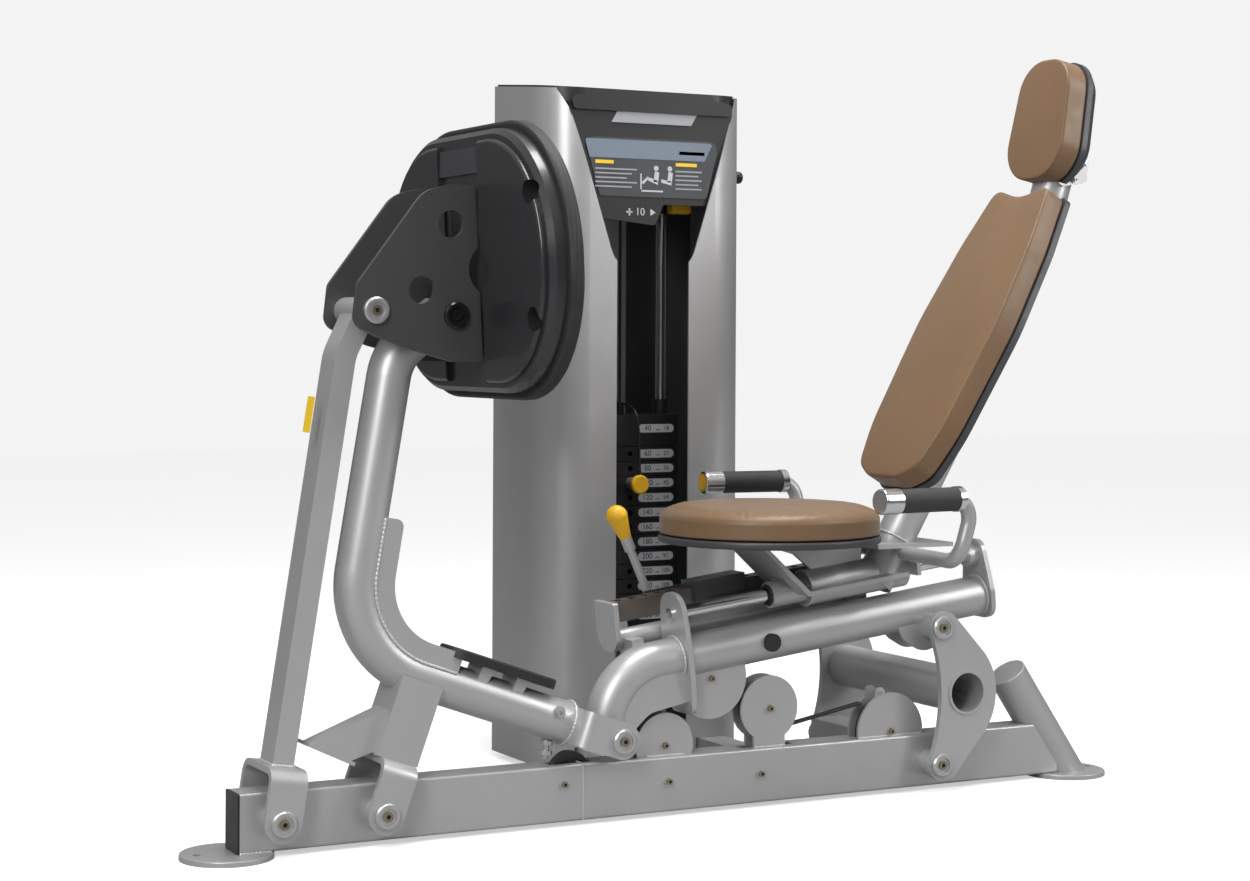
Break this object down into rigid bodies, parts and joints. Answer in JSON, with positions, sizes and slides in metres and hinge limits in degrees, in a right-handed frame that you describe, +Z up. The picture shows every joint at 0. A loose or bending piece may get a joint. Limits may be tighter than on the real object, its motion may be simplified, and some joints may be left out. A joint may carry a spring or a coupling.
{
  "type": "leg press machine",
  "caption": "Seated rocking leg press with a pivoting footplate arm, a sliding seat carriage on a rocker, and a selectorised weight stack tower beside it.",
  "frame": {"origin": "centre of the footprint on the floor", "axes": "+X from the footplate end to the seat end along the base rail, +Y towards the weight stack tower, +Z up"},
  "size_m": [1.9344, 1.058, 1.4516],
  "materials": {
    "silver_paint": "metallic silver-grey powder coat",
    "dark_paint": "dark grey powder coat",
    "black_plastic": "black moulded plastic",
    "panel_print": "printed plastic panel",
    "bright_chrome": "polished chrome",
    "pin_steel": "zinc plated steel",
    "rail_steel": "plain steel",
    "black_iron": "black enamel on iron",
    "cable_black": "nylon coated cable",
    "yellow_plastic": "yellow textured plastic",
    "black_rubber": "moulded rubber",
    "shell_plastic": "dark grey moulded plastic",
    "brown_leather": "tan-brown upholstery"
  },
  "bodies": {
    "base": {"base_rail": "silver_paint", "rail_end_cap": "black_plastic", "rail_feet": "silver_paint", "base_crossmembers": "silver_paint", "pulley_housings": "silver_paint", "tower_frame": "silver_paint", "tower_shroud_right": "silver_paint", "tower_shroud_left": "silver_paint", "tower_top_cap": "black_plastic", "tower_fascia": "black_plastic", "instruction_panel": "panel_print", "tower_back_covers": "dark_paint", "guide_rods": "bright_chrome", "lower_weight_plates": "black_iron", "fixed_cables": "cable_black"},
    "stack": {"head_plate": "black_iron", "lifted_weight_plates": "black_iron", "lift_cable": "cable_black", "pin_lanyard": "cable_black"},
    "pin": {"selector_pin": "pin_steel", "selector_disc": "yellow_plastic"},
    "add_on": {"add_on_weight": "black_iron", "add_on_knob": "yellow_plastic"},
    "arm": {"arm_tube": "silver_paint", "arm_fittings": "silver_paint", "arm_pad": "black_rubber", "arm_hardware": "pin_steel"},
    "link": {"link_bar": "silver_paint", "link_pin": "pin_steel"},
    "footplate": {"footplate_bracket": "dark_paint", "footplate_shell": "shell_plastic", "footplate_rubber": "black_rubber", "footplate_pins": "pin_steel"},
    "carriage": {"carriage_tube": "silver_paint", "carriage_plates": "silver_paint", "seat_rod": "bright_chrome", "latch_rail": "rail_steel", "rocker_hanger": "silver_paint", "carriage_pins": "pin_steel"},
    "rocker_body": {"rocker": "silver_paint", "rocker_pins": "pin_steel"},
    "seat": {"seat_frame": "silver_paint", "seat_base": "shell_plastic", "seat_pad": "brown_leather", "back_shell": "shell_plastic", "back_pad": "brown_leather", "head_shell": "shell_plastic", "head_pad": "brown_leather", "handle_tubes": "silver_paint", "hand_grips": "black_rubber", "grip_collars": "bright_chrome", "latch_box": "dark_paint"},
    "lever": {"seat_lever": "silver_paint", "lever_bulb": "yellow_plastic"},
    "front_pulley": {"front_wheel": "black_plastic"},
    "carriage_pulley": {"carriage_wheel": "black_plastic"},
    "middle_pulley": {"middle_wheel": "black_plastic"},
    "rear_pulley": {"rear_wheel": "black_plastic"},
    "rail_pulley": {"rail_wheel": "black_plastic"},
    "tower_pulley": {"tower_wheel": "black_plastic"}
  },
  "joints": [
    {"name": "arm_swing", "type": "hinge", "parent": "base", "child": "arm", "pos_m": [-0.62725, -0.171, 0.06], "axis": [0, -1, 0], "range_deg": [0, 16]},
    {"name": "link_swing", "type": "hinge", "parent": "base", "child": "link", "pos_m": [-0.81325, -0.171, 0.063], "axis": [0, -1, 0], "range_deg": [0, 16]},
    {"name": "footplate_tilt", "type": "hinge", "parent": "arm", "child": "footplate", "pos_m": [-0.50325, -0.171, 0.919], "axis": [0, -1, 0], "range_deg": [-20.2, 0]},
    {"name": "carriage_rock", "type": "hinge", "parent": "arm", "child": "carriage", "pos_m": [-0.16925, -0.171, 0.154], "axis": [0, -1, 0], "range_deg": [-26.3, 0]},
    {"name": "rocker_swing", "type": "hinge", "parent": "base", "child": "rocker_body", "pos_m": [0.52675, -0.171, 0.057], "axis": [0, -1, 0], "range_deg": [0, 4.4]},
    {"name": "stack_lift", "type": "slide", "parent": "base", "child": "stack", "axis": [0, 0, 1], "range_m": [0, 0.2002], "deforming": ["lift_cable"]},
    {"name": "pin_pull", "type": "slide", "parent": "stack", "child": "pin", "axis": [0, -1, 0], "range_m": [0, 0.09]},
    {"name": "add_on_drop", "type": "slide", "parent": "base", "child": "add_on", "axis": [0, 0, 1], "range_m": [-0.39, 0]},
    {"name": "seat_slide", "type": "slide", "parent": "carriage", "child": "seat", "axis": [-0.9923, 0, -0.124], "range_m": [-0.1, 0.13]},
    {"name": "lever_pull", "type": "hinge", "parent": "seat", "child": "lever", "pos_m": [-0.00396, -0.039, 0.38213], "axis": [0, -1, 0], "range_deg": [-18, 0], "stiffness_Nm_per_rad": 6},
    {"name": "front_spin", "type": "hinge", "parent": "base", "child": "front_pulley", "pos_m": [-0.05425, -0.171, 0.13], "axis": [0, -1, 0], "range_deg": [0, 230.2]},
    {"name": "carriage_spin", "type": "hinge", "parent": "carriage", "child": "carriage_pulley", "pos_m": [0.04375, -0.171, 0.248], "axis": [0, -1, 0], "range_deg": [-180, 0]},
    {"name": "middle_spin", "type": "hinge", "parent": "base", "child": "middle_pulley", "pos_m": [0.17175, -0.171, 0.183], "axis": [0, -1, 0], "range_deg": [0, 221.4]},
    {"name": "rear_spin", "type": "hinge", "parent": "base", "child": "rear_pulley", "pos_m": [0.44675, -0.171, 0.12], "axis": [0, -1, 0], "range_deg": [0, 180]},
    {"name": "rail_spin", "type": "hinge", "parent": "base", "child": "rail_pulley", "pos_m": [-0.24325, -0.171, 0.094], "axis": [0, -1, 0], "range_deg": [0, 302.6]},
    {"name": "tower_spin", "type": "hinge", "parent": "base", "child": "tower_pulley", "pos_m": [0.16175, 0.4535, 1.318], "axis": [-1, 0, 0], "range_deg": [0, 250.1]}
  ],
  "couplings": [
    {"joint": "link_swing", "follows": "arm_swing", "ratio": 0.986},
    {"joint": "footplate_tilt", "follows": "arm_swing", "ratio": -1.2494},
    {"joint": "carriage_rock", "follows": "arm_swing", "ratio": -1.6269},
    {"joint": "rocker_swing", "follows": "arm_swing", "ratio": 0.265},
    {"joint": "stack_lift", "follows": "arm_swing", "m_per_rad": 0.7162},
    {"joint": "front_spin", "follows": "arm_swing", "ratio": 14.324},
    {"joint": "carriage_spin", "follows": "arm_swing", "ratio": -11.191},
    {"joint": "middle_spin", "follows": "arm_swing", "ratio": 13.773},
    {"joint": "rear_spin", "follows": "arm_swing", "ratio": 11.191},
    {"joint": "rail_spin", "follows": "arm_swing", "ratio": 18.847},
    {"joint": "tower_spin", "follows": "arm_swing", "ratio": 15.57}
  ]
}
